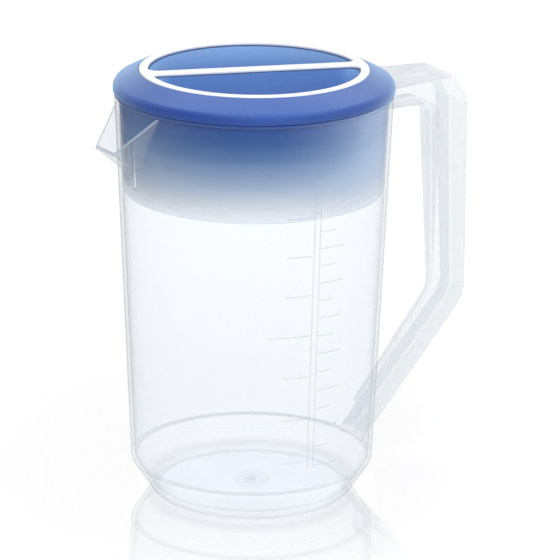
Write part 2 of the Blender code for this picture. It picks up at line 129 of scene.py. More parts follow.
class JugSizes(bpy.types.PropertyGroup):
    """Sizes of the cup, the spout and the handle."""

    wall: length("Wall", 1.8, "Thickness of the wall and of the spout's panels")
    rim_height: length("Rim height", 196.2, "Height of the rim above the table")
    rim_round: length("Rim round", 0.7, "Round on the rim's edges")
    corner_radius: length("Corner radius", 58.4, "Outer radius where the wall meets the foot")
    corner_height: length("Corner height", 16.1, "Height of that corner")
    corner_round: length("Corner round", 2.2, "Round on that corner")
    slope: FloatProperty(name="Slope", description="Radius gained for each unit of height", default=0.0423)
    chamfer_radius: length("Chamfer radius", 51.4, "Outer radius at the foot's waist")
    chamfer_height: length("Chamfer height", 5.6, "Height of the foot's waist")
    waist_round: length("Waist round", 1.5, "Round on the foot's waist")
    foot_radius: length("Foot radius", 48.5, "Outer radius of the foot ring")
    foot_edge: length("Foot edge", 0.8, "Chamfer under the foot ring")
    foot_round: length("Foot round", 0.3, "Round on the outer edges of the foot ring")
    foot_ring: length("Foot ring", 3.0, "Width of the ring the jug stands on")
    ring_round: length("Ring round", 0.4, "Round on the inner edge of that ring")
    hollow_round: length("Hollow round", 0.5, "Round in the hollow under the floor")
    floor_top: length("Floor top", 3.6, "Height of the floor inside")
    floor_round: length("Floor round", 2.0, "Round where the floor meets the wall")
    gate_radius: length("Gate radius", 8.8, "Radius of the mould's mark in the floor")
    gate_depth: length("Gate depth", 0.4, "Depth of that mark")
    gate_dot: length("Gate dot", 3.2, "Radius of the dot in the mark")
    lip_reach: length("Lip reach", 80.418, "Reach of the lip from the axis")
    lip_half: length("Lip half width", 9.0, "Half the lip's width")
    lip_height: length("Lip height", 178.3, "Height of the lip")
    lip_round: length("Lip round", 0.35, "Round on the edges of the spout's panels and the handle's flanges")
    mouth_half: length("Mouth half width", 20.8, "Half the spout's width at the rim")
    throat_half: length("Throat half width", 4.5, "Half the spout's width at its foot")
    throat_height: length("Throat height", 164.2, "Height of the spout's foot on the wall")
    flange: length("Flange", 1.8, "Thickness of the handle's flanges")
    web: length("Web", 2.4, "Thickness of the handle's web")
    plate_top: length("Plate top", 195.9, "Height of the handle's top plate")
    plate_end: length("Plate end", 104.918, "Reach of the top plate")
    plate_round: length("Plate round", 2.6, "Round at the plate's end")
    shoulder_reach: length("Shoulder reach", 112.718, "Reach of the handle's shoulder")
    shoulder_height: length("Shoulder height", 181.5, "Height of the handle's shoulder")
    shoulder_round: length("Shoulder round", 3.4, "Round on the shoulder")
    knee_reach: length("Knee reach", 115.818, "Reach of the handle's knee")
    knee_height: length("Knee height", 81.42, "Height of the handle's knee")
    knee_round: length("Knee round", 16.0, "Round on the knee")
    arm_underside: length("Arm underside", 181.2, "Height of the finger gap's top")
    palm_reach: length("Palm reach", 98.218, "Reach of the finger gap")
    palm_round: length("Palm round", 8.0, "Round at the top of the finger gap")
    inner_knee_reach: length("Inner knee reach", 100.218, "Reach of the finger gap at the knee")
    inner_knee_height: length("Inner knee height", 85.72, "Height of the gap's knee")
    inner_knee_round: length("Inner knee round", 14.0, "Round on the gap's knee")
    inner_strut: length("Inner strut", 32.4, "Height at which the gap ends on the wall")
    plate_root_half: length("Plate root half width", 19.4, "Half the top plate's width at the wall")
    plate_half: length("Plate half width", 13.3, "Half the top plate's width at its end")
    shoulder_half: length("Shoulder half width", 13.1, "Half the handle's width at the shoulder")
    knee_half: length("Knee half width", 9.6, "Half the handle's width at the knee")
    strut_half: length("Strut half width", 10.0, "Half the handle's width at its foot")
    arm_half: length("Arm half width", 8.0, "Half the inner flange's width at the arm")
    inner_strut_half: length("Inner strut half width", 1.7, "Half the inner flange's width below the knee")


class ScaleSizes(bpy.types.PropertyGroup):
    """Sizes of the raised scale on the wall."""

    angle: angular("Angle", -92.7, "Where the scale stands round the jug, from the handle")
    bead: length("Bead", 0.34, "Radius of a raised line")
    twin_gap: length("Twin gap", 1.5, "Half the gap between the two upright lines")
    twin_top: length("Twin top", 172.0, "Height at which they end")
    start: length("Tick start", 2.4, "Where a tick starts beside the middle")
    short: length("Short tick", 7.6, "Length of a tick at an odd 100 ml")
    long: length("Long tick", 12.7, "Length of a tick at an even 100 ml and at 8 fluid ounces")
    main: length("Main tick", 20.2, "Length of the quart's tick")
    first_height: length("First height", 28.6, "Height of the 200 ml tick")
    metric: count("Metric ticks", 14, "Ticks of 100 ml from 200 ml up")
    imperial: count("Imperial ticks", 7, "Ticks of 8 fluid ounces")
    quart: count("Quart", 4, "Which of those ticks is the quart's")


class LidSizes(bpy.types.PropertyGroup):
    """Sizes of the sleeve, the cap and the trim."""

    turn: angular("Turn", -18, "How far the lid is turned on the jug")
    sleeve: length("Sleeve", 1.5, "Thickness of the sleeve")
    sleeve_gap: length("Sleeve gap", 0.5, "Space between the sleeve and the wall")
    sleeve_bottom: length("Sleeve bottom", 150.2, "Height of the sleeve's lower edge")
    low_round: length("Lower round", 0.5, "Round on the lower edges of the sleeve and the collar")
    flange_low: length("Flange low", 196.5, "Height of the sleeve's flange on the rim")
    flange_high: length("Flange high", 198.0, "Top of that flange")
    flange_round: length("Flange round", 0.4, "Round on the flange's edges")
    upstand: length("Upstand", 199.6, "Top of the sleeve's upstand")
    upstand_round: length("Upstand round", 0.3, "Round on the upstand's edges")
    slot_width: length("Slot width", 4.5, "Width of a strainer slot")
    slot_low: length("Slot low", 156.0, "Lower end of a strainer slot")
    slot_high: length("Slot high", 181.0, "Upper end of a strainer slot")
    slot_pitch: angular("Slot pitch", 8.7, "Angle between two slots")
    slot_count: count("Slots", 4, "Number of strainer slots")
    collar_radius: length("Collar radius", 66.718, "Outer radius of the collar")
    collar_low: length("Collar low", 198.3, "Height of the collar's lower edge")
    collar_band: length("Collar band", 4.2, "Height of the collar's corner above that edge")
    collar_round: length("Collar round", 4.0, "Round on the collar's corner")
    under_round: length("Under round", 1.5, "Round under that corner")
    neck_round: length("Neck round", 0.8, "Round where the collar meets the bowl")
    cap_wall: length("Cap wall", 1.8, "Thickness of the cap")
    recess: length("Recess radius", 54.718, "Radius of the recess for the trim")
    recess_top: length("Recess top", 208.5, "Height of the recess's edge")
    recess_round: length("Recess round", 0.2, "Round on that edge")
    land: length("Land", 206.9, "Height of the land the trim lies on")
    bowl_radius: length("Bowl radius", 49.318, "Radius of the finger wells at the land")
    bowl_floor: length("Bowl floor", 160.0, "Height of the wells' floor")
    bowl_floor_radius: length("Bowl floor radius", 44.018, "Radius of the bowl at its floor")
    bowl_round: length("Bowl round", 14.0, "Round at the wells' floor")
    bar: length("Bar", 6.0, "Width of the bar between the wells")
    well_fillet: length("Well fillet", 5.0, "Fillet in the wells' upright corners")
    trim_low: length("Trim low", 207.2, "Underside of the trim")
    trim_high: length("Trim high", 208.8, "Top of the trim")
    trim_outer: length("Trim outer radius", 54.418, "Outer radius of the trim")
    trim_inner: length("Trim inner radius", 50.1, "Radius of the trim's openings")
    trim_bar: length("Trim bar", 6.2, "Width of the trim's bar")
    trim_fillet: length("Trim fillet", 4.5, "Fillet where the bar meets the ring")
    trim_edge: length("Trim edge", 0.6, "Round on the trim's edges")


class Finishes(bpy.types.PropertyGroup):
    """Colours of the plastics."""

    natural: colour("Natural plastic", "#AEB6BF", "The clear plastic where it is thick or seen edge on")
    panel: colour("Natural panel", "#F4F6F8", "The milkier panels of the spout and the handle")
    edge: colour("Natural edge", "#AEBBC9", "The spout's cut and parted edges")
    # The sleeve's colours are painted light: the bowl's blue as it would shine through the frosting, fading
    # to milk
    sleeve_top_painted_bowl_light: colour("Sleeve top", "#3255A1", "The sleeve where the blue bowl shines through it")
    frosted_low: colour("Sleeve bottom", "#EBECEE", "The sleeve at its lower edge")
    blue: colour("Blue plastic", "#2B4495", "The cap's collar and the outside of its bowl")
    # The wells' two blues are painted light: paler all over, lighter still towards the top of their wall
    blue_well_painted_light: colour("Thin blue plastic", "#6689C5", "The thin walls of the wells, which pass light")
    blue_well_top_painted_light: colour("Glowing blue plastic", "#93B8E6", "The top of the wells' wall, where light passes")
    white: colour("White plastic", "#F4F5F8", "The trim")


class StudioSettings(bpy.types.PropertyGroup):
    """The camera and the lights."""

    camera_place: direction(
        "Camera place",
        (-0.88261, -1.462648, 0.638865),
        "Where the camera stands",
        subtype="TRANSLATION",
        unit="LENGTH",
    )
    camera_turn: direction(
        "Camera turn",
        (math.radians(72.531), math.radians(-0.5413), math.radians(-30.8696)),
        "How the camera is turned",
        subtype="EULER",
        unit="ROTATION",
    )
    lens: FloatProperty(
        name="Lens", description="Focal length on a 36 mm sensor", default=239.017, unit="CAMERA"
    )
    room: portion("Room light", 0.52, "Strength of the even light of the room")
    front: power("Front softbox", 17.0, "Power of the softbox beside the camera")
    top: power("Top softbox", 13.0, "Power of the softbox overhead")
    dark_side: direction(
        "Dark side", (-0.999, 0.0, -0.05), "Towards the studio's dark side", subtype="DIRECTION"
    )
    dark_depth: portion("Dark depth", 0.85, "How much dimmer reflections are there")


# Modelling helpers


def deselect():
    """Goes back to object mode with nothing selected, as each piece starts."""
    if bpy.context.object and bpy.context.object.mode != "OBJECT":
        bpy.ops.object.mode_set(mode="OBJECT")
    bpy.ops.object.select_all(action="DESELECT")


def choose(*pieces):
    """Selects these pieces and no others, and makes the first one active."""
    deselect()
    for piece in pieces:
        piece.select_set(True)
    bpy.context.view_layer.objects.active = pieces[0]


def edit(piece, kind="VERT"):
    """Opens one piece for editing with all of it selected."""
    choose(piece)
    bpy.ops.object.mode_set(mode="EDIT")
    bpy.ops.mesh.select_mode(type=kind)
    bpy.ops.mesh.select_all(action="SELECT")


def pick(piece, kind, test):
    """Selects the verts, edges or faces of the piece being edited that pass a test, and no others."""
    bpy.ops.mesh.select_all(action="DESELECT")
    mesh = bmesh.from_edit_mesh(piece.data)
    for element in getattr(mesh, kind):
        if test(element):
            element.select_set(True)
    mesh.select_flush_mode()
    bmesh.update_edit_mesh(piece.data)


def joined(pieces):
    """Joins pieces into the first one's object."""
    choose(*pieces)
    bpy.ops.object.join()
    return bpy.context.object


def named(name):
    """Names the piece that was just added, puts its place in its mesh and returns it."""
    piece = bpy.context.object
    piece.name = name
    piece.data.name = name
    bpy.ops.object.transform_apply(location=True, rotation=True, scale=True)
    return piece


def drawn(name, points, fill=False):
    """A line drawn from point to point, closed and filled if asked."""
    deselect()
    points = [Vector(p) for p in points]
    bpy.ops.mesh.primitive_plane_add(size=MM)
    piece = named(name)
    bpy.ops.object.mode_set(mode="EDIT")
    bpy.ops.mesh.select_mode(type="VERT")
    bpy.ops.mesh.select_all(action="SELECT")
    bpy.ops.mesh.merge(type="CENTER")
    bpy.ops.transform.translate(value=points[0])
    for here, there in zip(points, points[1:]):
        bpy.ops.mesh.extrude_vertices_move(TRANSFORM_OT_translate={"value": there - here})
    if fill:
        bpy.ops.mesh.select_all(action="SELECT")
        bpy.ops.mesh.edge_face_add()
    bpy.ops.object.mode_set(mode="OBJECT")
    return piece


def spun(name, profile):
    """A profile of (radius, height) points spun round the jug's axis, with its poles and seam closed."""
    piece = drawn(name, [AXIS + Vector((r, 0.0, z)) for r, z in profile])
    edit(piece)
    bpy.ops.mesh.spin(steps=TURN_STEPS, angle=2 * math.pi, center=AXIS, axis=(0, 0, 1), use_auto_merge=True)
    tidy(piece)
    return piece


def tidy(piece):
    """Merges doubles, points the faces outwards and shades the piece smooth up to its real edges."""
    edit(piece)
    bpy.ops.mesh.remove_doubles(threshold=MERGE_DISTANCE)
    bpy.ops.mesh.normals_make_consistent(inside=False)
    bpy.ops.object.mode_set(mode="OBJECT")
    bpy.ops.object.shade_smooth_by_angle(angle=SMOOTH_ANGLE)


def finish_with(piece, kind, **settings):
    """Adds a modifier with its settings and applies it."""
    choose(piece)
    modifier = piece.modifiers.new(kind.title(), kind)
    for setting, value in settings.items():
        setattr(modifier, setting, value)
    bpy.ops.object.modifier_apply(modifier=modifier.name)


def ease(piece, width, segments=2):
    """Rounds the sharp edges of a piece."""
    finish_with(piece, "BEVEL", width=width, segments=segments, limit_method="ANGLE", angle_limit=EASED_ANGLE)


def combine(piece, tool, operation, keep=False):
    """Joins or cuts a piece with a tool, which is then thrown away."""
    finish_with(piece, "BOOLEAN", object=tool, operation=operation, solver="EXACT")
    if not keep:
        bpy.data.objects.remove(tool)


def offset_path(points, distance):
    """Moves an outline to the left of its direction and keeps its corners sharp."""
    points = [Vector(p) for p in points]
    sides = []
    for here, there in zip(points, points[1:]):
        along = (there - here).normalized()
        sides.append(Vector((-along.y, along.x)))
    moved = []
    for i, point in enumerate(points):
        both = sides[max(i - 1, 0)] + sides[min(i, len(sides) - 1)]
        moved.append(point + both * (2 * distance / both.length_squared))
    return moved


def rounded_path(corners, steps=ROUND_STEPS):
    """Rounds an outline of (x, z, radius) corners. A corner of radius 0 stays sharp."""
    points = []
    for i, (x, z, radius) in enumerate(corners):
        here = Vector((x, z))
        if not radius:
            points.append(here)
            continue
        back = (Vector(corners[i - 1][:2]) - here).normalized()
        ahead = (Vector(corners[i + 1][:2]) - here).normalized()
        half = back.angle(ahead) / 2
        centre = here + (back + ahead).normalized() * (radius / math.sin(half))
        start = (here + back * (radius / math.tan(half)) - centre).normalized()
        end = (here + ahead * (radius / math.tan(half)) - centre).normalized()
        for step in range(steps + 1):
            points.append(centre + start.slerp(end, step / steps) * radius)
    return points


def wall_radius(height):
    """Outer radius of the jug's wall."""
    jug = bpy.context.scene.jug_sizes
    return jug.corner_radius + jug.slope * (height - jug.corner_height)


def coat(piece, *materials):
    """Gives a piece its materials, in the order of its faces' material indices."""
    piece.data.materials.clear()
    for material in materials:
        piece.data.materials.append(material)
    return piece


def dress(piece, body, nodes):
    """Gives a finished piece its body and hides the solids it stands for."""
    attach(piece, body)
    if nodes:
        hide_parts(*nodes)


# Materials


def add(tree, kind, sockets=None, **options):
    """Adds a node: options are its settings, and sockets hold values, (node, output) to link from, or a node
    to link from its first output."""
    made = tree.nodes.new("ShaderNode" + kind)
    for option, value in options.items():
        setattr(made, option, value)
    for socket, value in (sockets or {}).items():
        if isinstance(value, bpy.types.Node):
            value = (value, 0)
        if isinstance(value, tuple) and isinstance(value[0], bpy.types.Node):
            tree.links.new(value[0].outputs[value[1]], made.inputs[socket])
        else:
            made.inputs[socket].default_value = value
    return made


def blank(name):
    """A material with an empty node tree, the tree, and its texture coordinates."""
    material = bpy.data.materials.new(name)
    material.use_nodes = True
    tree = material.node_tree
    tree.nodes.clear()
    return material, tree, add(tree, "TexCoord")


def from_axis(tree, place):
    """The three coordinates of a place, and its distance from the jug's axis."""
    axes = add(tree, "SeparateXYZ", {0: (place, "Object")})
    flat = add(tree, "CombineXYZ", {"X": (axes, "X"), "Y": (axes, "Y")})
    return axes, add(tree, "VectorMath", {0: flat, 1: AXIS}, operation="DISTANCE")


def with_painted_shade_rings(tree, place, cover):
    """Adds grey milk to the cover in rings at the cup's foot, its corner and its gate: painted shade, which
    draws them as darker lines. The stops are in millimetres, up the wall for the foot and away from the axis
    for the gate."""
    axes, away = from_axis(tree, place)
    outer = add(tree, "MapRange", {"Value": (away, "Value"), "From Min": 44 * MM, "From Max": 47 * MM})
    # Painted shade: these rings grey the foot, the line at the corner and the gate
    foot = ((0.0, 0.14), (0.8, 0.10), (4.0, 0.09), (6.5, 0.0), (15.3, 0.0), (16.1, 0.32), (16.9, 0.0))
    gate = ((0.0, 0.20), (2.6, 0.16), (3.6, 0.03), (7.9, 0.03), (8.5, 0.09), (9.0, 0.0))
    rings = (((axes, "Z"), 20 * MM, foot, outer), ((away, "Value"), 10 * MM, gate, 1.0))
    for source, span, stops, part_there in rings:
        along = add(tree, "MapRange", {"Value": source, "From Max": span})
        ring = add(tree, "ValToRGB", {"Fac": along})
        ring.color_ramp.elements[0].color = (*[stops[0][1]] * 3, 1)
        ring.color_ramp.elements[1].color = (0, 0, 0, 1)
        for where, level in stops[1:]:
            ring.color_ramp.elements.new(where * MM / span).color = (level, level, level, 1)
        cover = add(tree, "Math", {0: ring, 1: part_there, 2: cover}, operation="MULTIPLY_ADD")
    return cover


def with_seam_milk(tree, place, cover):
    """Adds milk to the cover where the handle's web meets its flanges."""
    half = bpy.context.scene.jug_sizes.web / 2
    axes = add(tree, "SeparateXYZ", {0: (place, "Object")})
    off = add(tree, "Math", {0: (axes, "Y")}, operation="ABSOLUTE")
    seam = add(
        tree,
        "MapRange",
        {"Value": off, "From Min": half, "From Max": half + 0.3 * MM, "To Min": 0.22, "To Max": 0.0},
    )
    return add(tree, "Math", {0: seam, 1: cover}, operation="ADD")


def natural_polypropylene(name, base, clear, milk, scatter=0.0, more_milk=None):
    """Injection-moulded natural polypropylene: clear with a faint grey milk, denser where it is seen edge on,
    cloudy over a couple of centimetres where the melt flowed, with a gloss that grows towards its outline.
    The share scatter of its milk passes light on from behind, and the last argument adds milk in lines:
    painted shade rings on the cup, a band along the handle's seam."""
    material, tree, place = blank(name)
    clouds = add(tree, "TexNoise", {"Vector": (place, "Object"), "Scale": 1 / (22 * MM), "Detail": 2.0})
    facing = add(tree, "LayerWeight", {"Blend": 0.5})
    edge = add(tree, "Math", {0: (facing, "Facing"), 1: 10.0}, operation="POWER")
    edge = add(tree, "Math", {0: edge, 1: 0.8, 2: 0.5 * milk}, operation="MULTIPLY_ADD")
    cover = add(tree, "Math", {0: (clouds, "Fac"), 1: milk, 2: edge}, operation="MULTIPLY_ADD")
    if more_milk:
        cover = more_milk(tree, place, cover)
    grain = add(tree, "TexNoise", {"Vector": (place, "Object"), "Scale": 1 / (1.6 * MM), "Detail": 1.0})
    bump = add(tree, "Bump", {"Height": (grain, "Fac"), "Strength": 0.04, "Distance": 0.1 * MM})
    plastic = add(
        tree,
        "BsdfPrincipled",
        {"Base Color": base, "Roughness": 0.24, "IOR": PLASTIC_IOR, "Normal": (bump, "Normal")},
    )
    if scatter:
        passed = add(tree, "BsdfTranslucent", {"Color": base})
        plastic = add(tree, "MixShader", {0: scatter, 1: plastic, 2: passed})
    through = add(tree, "BsdfTransparent", {"Color": linear(clear)})
    mixed = add(tree, "MixShader", {0: cover, 1: through, 2: plastic})
    sheen = add(tree, "Math", {0: (facing, "Facing"), 1: 2.0}, operation="POWER")
    sheen = add(tree, "Math", {0: sheen, 1: 0.18}, operation="MULTIPLY")
    gloss = add(tree, "BsdfGlossy", {"Color": linear("#FFFFFF"), "Roughness": 0.16})
    mixed = add(tree, "MixShader", {0: sheen, 1: mixed, 2: gloss})
    add(tree, "OutputMaterial", {"Surface": mixed})
    return material


def natural_edge():
    """A cut or parted edge of the same plastic. The look that light caught in the sheet gives it is painted
    into its colour: a painted grey-blue line, a little uneven along its length."""
    material, tree, place = blank("natural_polypropylene_edge")
    finishes = bpy.context.scene.jug_finishes
    clouds = add(tree, "TexNoise", {"Vector": (place, "Object"), "Scale": 1 / (8 * MM), "Detail": 2.0})
    milk = add(tree, "MapRange", {"Value": (clouds, "Fac"), "To Min": 0.55, "To Max": 0.75})
    plastic = add(tree, "BsdfPrincipled", {"Base Color": finishes.edge, "Roughness": 0.3, "IOR": PLASTIC_IOR})
    clear = add(tree, "BsdfTransparent", {"Color": linear("#F6F8FB")})
    mixed = add(tree, "MixShader", {0: milk, 1: clear, 2: plastic})
    add(tree, "OutputMaterial", {"Surface": mixed})
    return material


def frosted_polypropylene():
    """Frosted polypropylene. The blue of the bowl behind it, as the frosting would scatter it, is painted
    into its colour: painted light that fades from the bowl's blue under the collar to plain milk at its lower
    edge. Its gloss is weighted by place, a painted one-sided sheen: strongest on the handle's side, thinning
    towards the spout's side with its slots and towards the lower edge."""
    material, tree, place = blank("frosted_polypropylene_moulded")
    lid, finishes = bpy.context.scene.lid_sizes, bpy.context.scene.jug_finishes
    axes = add(tree, "SeparateXYZ", {0: (place, "Object")})
    share = add(
        tree, "MapRange", {"Value": (axes, "Z"), "From Min": lid.sleeve_bottom, "From Max": lid.flange_low}
    )
    # Painted light: the bowl's blue as it would shine through the frosting, strongest under the collar
    fade = add(tree, "ValToRGB", {"Fac": share})
    stops = fade.color_ramp.elements
    stops[0].color, stops[1].color = finishes.frosted_low, finishes.sleeve_top_painted_bowl_light
    shades = ((0.14, "#E3E5E7"), (0.22, "#D8DEE8"), (0.31, "#C0CDE1"), (0.40, "#AEBED6"), (0.49, "#96AACB"))
    for where, code in (*shades, (0.57, "#859EC5"), (0.66, "#6082B2"), (0.83, "#3A62A2")):
        stops.new(where).color = linear(code)
    cover = add(tree, "ValToRGB", {"Fac": share})
    stops = cover.color_ramp.elements
    stops[0].color, stops[1].color = (0.14, 0.14, 0.14, 1), (0.80, 0.80, 0.80, 1)
    for where, level in ((0.12, 0.35), (0.22, 0.62), (0.31, 0.74), (0.45, 0.80)):
        stops.new(where).color = (level, level, level, 1)
    clouds = add(tree, "TexNoise", {"Vector": (place, "Object"), "Scale": 1 / (9 * MM), "Detail": 2.0})
    cloudy = add(tree, "Math", {0: (clouds, "Fac"), 1: 0.06, 2: cover}, operation="MULTIPLY_ADD")
    milky = add(tree, "BsdfPrincipled", {"Base Color": fade, "Roughness": 0.45, "IOR": PLASTIC_IOR})
    clear = add(tree, "BsdfTransparent", {"Color": linear("#FBFCFE")})
    mixed = add(tree, "MixShader", {0: cloudy, 1: clear, 2: milky})
    facing = add(tree, "LayerWeight", {"Blend": 0.5})
    sheen = add(
        tree, "MapRange", {"Value": (facing, "Facing"), "From Min": 0.06, "From Max": 0.5, "To Max": 0.46}
    )
    # A painted sheen: the gloss is weighted by place, stronger towards the handle's side, where the room is
    # bright, and fading towards the lower edge
    side = add(
        tree,
        "MapRange",
        {"Value": (axes, "X"), "From Min": AXIS.x - 62 * MM, "From Max": AXIS.x + 40 * MM, "To Min": 0.45},
    )
    above = add(tree, "MapRange", {"Value": share, "From Max": 0.4, "To Min": 0.15})
    for thinning in (side, above):
        sheen = add(tree, "Math", {0: sheen, 1: thinning}, operation="MULTIPLY")
    gloss = add(tree, "BsdfGlossy", {"Color": linear("#CDE2FF"), "Roughness": 0.25})
    mixed = add(tree, "MixShader", {0: sheen, 1: mixed, 2: gloss})
    add(tree, "OutputMaterial", {"Surface": mixed})
    return material


def moulded_grain(tree, place):
    """The very fine grain of the lid's opaque plastics, and the bump that it gives them."""
    grain = add(tree, "TexNoise", {"Vector": (place, "Object"), "Scale": 1 / (0.9 * MM), "Detail": 2.0})
    return grain, add(tree, "Bump", {"Height": (grain, "Fac"), "Strength": 0.06, "Distance": 0.05 * MM})


def blue_polypropylene(name, base, painted_top_light=None):
    """Injection-moulded polypropylene coloured through: an even blue with a satin gloss that keeps a tint of
    the blue, a breath of flow clouding and a very fine moulded grain. The wells take a paler blue, painted
    light standing in for the light that reaches them, and with a second colour given they turn to it towards
    the top of the bowl, painted light where it falls on the wells' upper wall."""
    material, tree, place = blank(name)
    lid = bpy.context.scene.lid_sizes
    clouds = add(tree, "TexNoise", {"Vector": (place, "Object"), "Scale": 1 / (18 * MM), "Detail": 2.0})
    lighter = [c * 1.1 for c in base[:3]] + [1.0]
    tint = add(tree, "Mix", {0: (clouds, "Fac"), 6: base, 7: lighter}, data_type="RGBA")
    if painted_top_light:
        # Painted light: the top of the wells' wall is painted lighter, near the land and the bowl's rim
        axes, away = from_axis(tree, place)
        rim = add(
            tree, "MapRange", {"Value": (axes, "Z"), "From Min": lid.land - 14 * MM, "From Max": lid.land}
        )
        low, high = lid.bowl_radius - 9 * MM, lid.bowl_radius - 2 * MM
        wall = add(tree, "MapRange", {"Value": (away, "Value"), "From Min": low, "From Max": high})
        share = add(tree, "Math", {0: rim, 1: wall}, operation="MULTIPLY")
        tint = add(tree, "Mix", {0: share, 6: (tint, 2), 7: painted_top_light}, data_type="RGBA")
    grain, bump = moulded_grain(tree, place)
    rough = add(tree, "MapRange", {"Value": (grain, "Fac"), "To Min": 0.25, "To Max": 0.33})
    plastic = add(
        tree,
        "BsdfPrincipled",
        {
            "Base Color": (tint, 2),
            "Roughness": rough,
            "IOR": PLASTIC_IOR,
            "Normal": (bump, "Normal"),
            "Specular IOR Level": 0.8,
            "Specular Tint": linear("#B4E4FF"),
            "Sheen Weight": 1.0,
            "Sheen Roughness": 0.4,
            "Sheen Tint": linear("#A8D6FF"),
        },
    )
    add(tree, "OutputMaterial", {"Surface": plastic})
    return material


def white_polypropylene():
    """Injection-moulded white polypropylene: opaque, satin, with the same fine grain as the cap."""
    material, tree, place = blank("white_polypropylene_moulded")
    white = bpy.context.scene.jug_finishes.white
    bump = moulded_grain(tree, place)[1]
    clouds = add(tree, "TexNoise", {"Vector": (place, "Object"), "Scale": 1 / (14 * MM), "Detail": 2.0})
    darker = [c * 0.97 for c in white[:3]] + [1.0]
    tint = add(tree, "Mix", {0: (clouds, "Fac"), 6: white, 7: darker}, data_type="RGBA")
    plastic = add(
        tree,
        "BsdfPrincipled",
        {"Base Color": (tint, 2), "Roughness": 0.38, "IOR": PLASTIC_IOR, "Normal": (bump, "Normal")},
    )
    add(tree, "OutputMaterial", {"Surface": plastic})
    return material


# Pieces


def cup():
    """The wall, the floor with the mould's mark, the foot and the rounded rim, spun as one."""
    jug = bpy.context.scene.jug_sizes
    rim = wall_radius(jug.rim_height)
    outer = [
        (rim, jug.rim_height),
        (jug.corner_radius, jug.corner_height),
        (jug.chamfer_radius, jug.chamfer_height),
        (jug.foot_radius, jug.foot_edge),
    ]
    inner = offset_path(outer, -jug.wall)
    run = (inner[2].x - inner[3].x) / (inner[2].y - inner[3].y)
    floor_edge = inner[3].x + run * (jug.floor_top - inner[3].y)
    ring = jug.foot_radius - jug.foot_edge
    under = jug.floor_top - jug.wall
    corners = [
        (0.0, jug.floor_top, 0.0),
        (jug.gate_dot, jug.floor_top, 0.0),
        (jug.gate_dot + jug.gate_depth, jug.floor_top - jug.gate_depth, 0.0),
        (jug.gate_radius - jug.gate_depth, jug.floor_top - jug.gate_depth, 0.0),
        (jug.gate_radius, jug.floor_top, 0.0),
        (floor_edge, jug.floor_top, jug.floor_round),
        (inner[2].x, inner[2].y, jug.waist_round),
        (inner[1].x, inner[1].y, jug.corner_round + jug.wall / 2),
        (rim - jug.wall, jug.rim_height, jug.rim_round),
        (rim, jug.rim_height, jug.rim_round),
        (jug.corner_radius, jug.corner_height, jug.corner_round),
        (jug.chamfer_radius, jug.chamfer_height, jug.waist_round),
        (jug.foot_radius, jug.foot_edge, jug.foot_round),
        (ring, 0.0, jug.foot_round),
        (ring - jug.foot_ring, 0.0, jug.ring_round),
        (ring - jug.foot_ring - jug.wall / 2, under, jug.hollow_round),
        (0.0, under, 0.0),
    ]
    return spun("jug", rounded_path(corners))


def panelled(piece, plastics, index):
    """Gives all of a sheet one of the plastics before it gets its thickness."""
    coat(piece, *plastics)
    piece.data.polygons.foreach_set("material_index", [index] * len(piece.data.polygons))


def spout_panels(plastics):
    """The hopper's three flat panels, thickened inwards, with their edges eased."""
    jug = bpy.context.scene.jug_sizes
    lip = Vector((-jug.lip_reach, jug.lip_half, jug.lip_height))
    rim = wall_radius(jug.rim_height)
    mouth = Vector((-math.sqrt(rim**2 - jug.mouth_half**2), jug.mouth_half, jug.rim_height))
    throat = Vector((-wall_radius(jug.throat_height), jug.throat_half, jug.throat_height))
    into_wall, touch, below_rim = 5 * MM, 0.01 * MM, 0.2 * MM
    mouth, throat = (end + (end - lip).normalized() * into_wall for end in (mouth, throat))
    mirror = Vector((1, -1, 1))
    line = [mouth, lip, throat, throat * mirror, lip * mirror, mouth * mirror]
    piece = drawn("spout_panels", [AXIS + p for p in line])
    for corners in (line[:3], line[1:5], line[3:]):
        edit(piece)
        pick(piece, "verts", lambda v: any((v.co - AXIS - c).length < touch for c in corners))
        bpy.ops.mesh.edge_face_add()
    edit(piece)
    bpy.ops.mesh.normals_make_consistent(inside=False)
    bpy.ops.object.mode_set(mode="OBJECT")
    # The panels' faces have to point outwards, away from the mouth, for the thickness to go in
    floor_panel = max(piece.data.polygons, key=lambda p: len(p.vertices))
    if floor_panel.normal.z > 0:
        edit(piece)
        bpy.ops.mesh.flip_normals()
        bpy.ops.object.mode_set(mode="OBJECT")
    panelled(piece, plastics, SPOUT_PLACE)
    finish_with(
        piece,
        "SOLIDIFY",
        thickness=jug.wall,
        offset=-1.0,
        use_even_offset=True,
        material_offset_rim=EDGE_PLACE - SPOUT_PLACE,
    )
    edit(piece)
    bpy.ops.mesh.bisect(
        plane_co=(0, 0, jug.rim_height - below_rim), plane_no=(0, 0, 1), clear_outer=True, use_fill=True
    )
    bpy.ops.object.mode_set(mode="OBJECT")
    ease(piece, jug.lip_round)
    return piece


def wall_core():
    """A solid cone to the middle of the wall, which trims what is moulded onto the wall."""
    jug = bpy.context.scene.jug_sizes
    spare = 20 * MM
    low, high = -spare, jug.rim_height + spare
    side = [(wall_radius(height) - jug.wall / 2, height) for height in (high, low)]
    return spun("wall_core", [(0, high), *side, (0, low)])


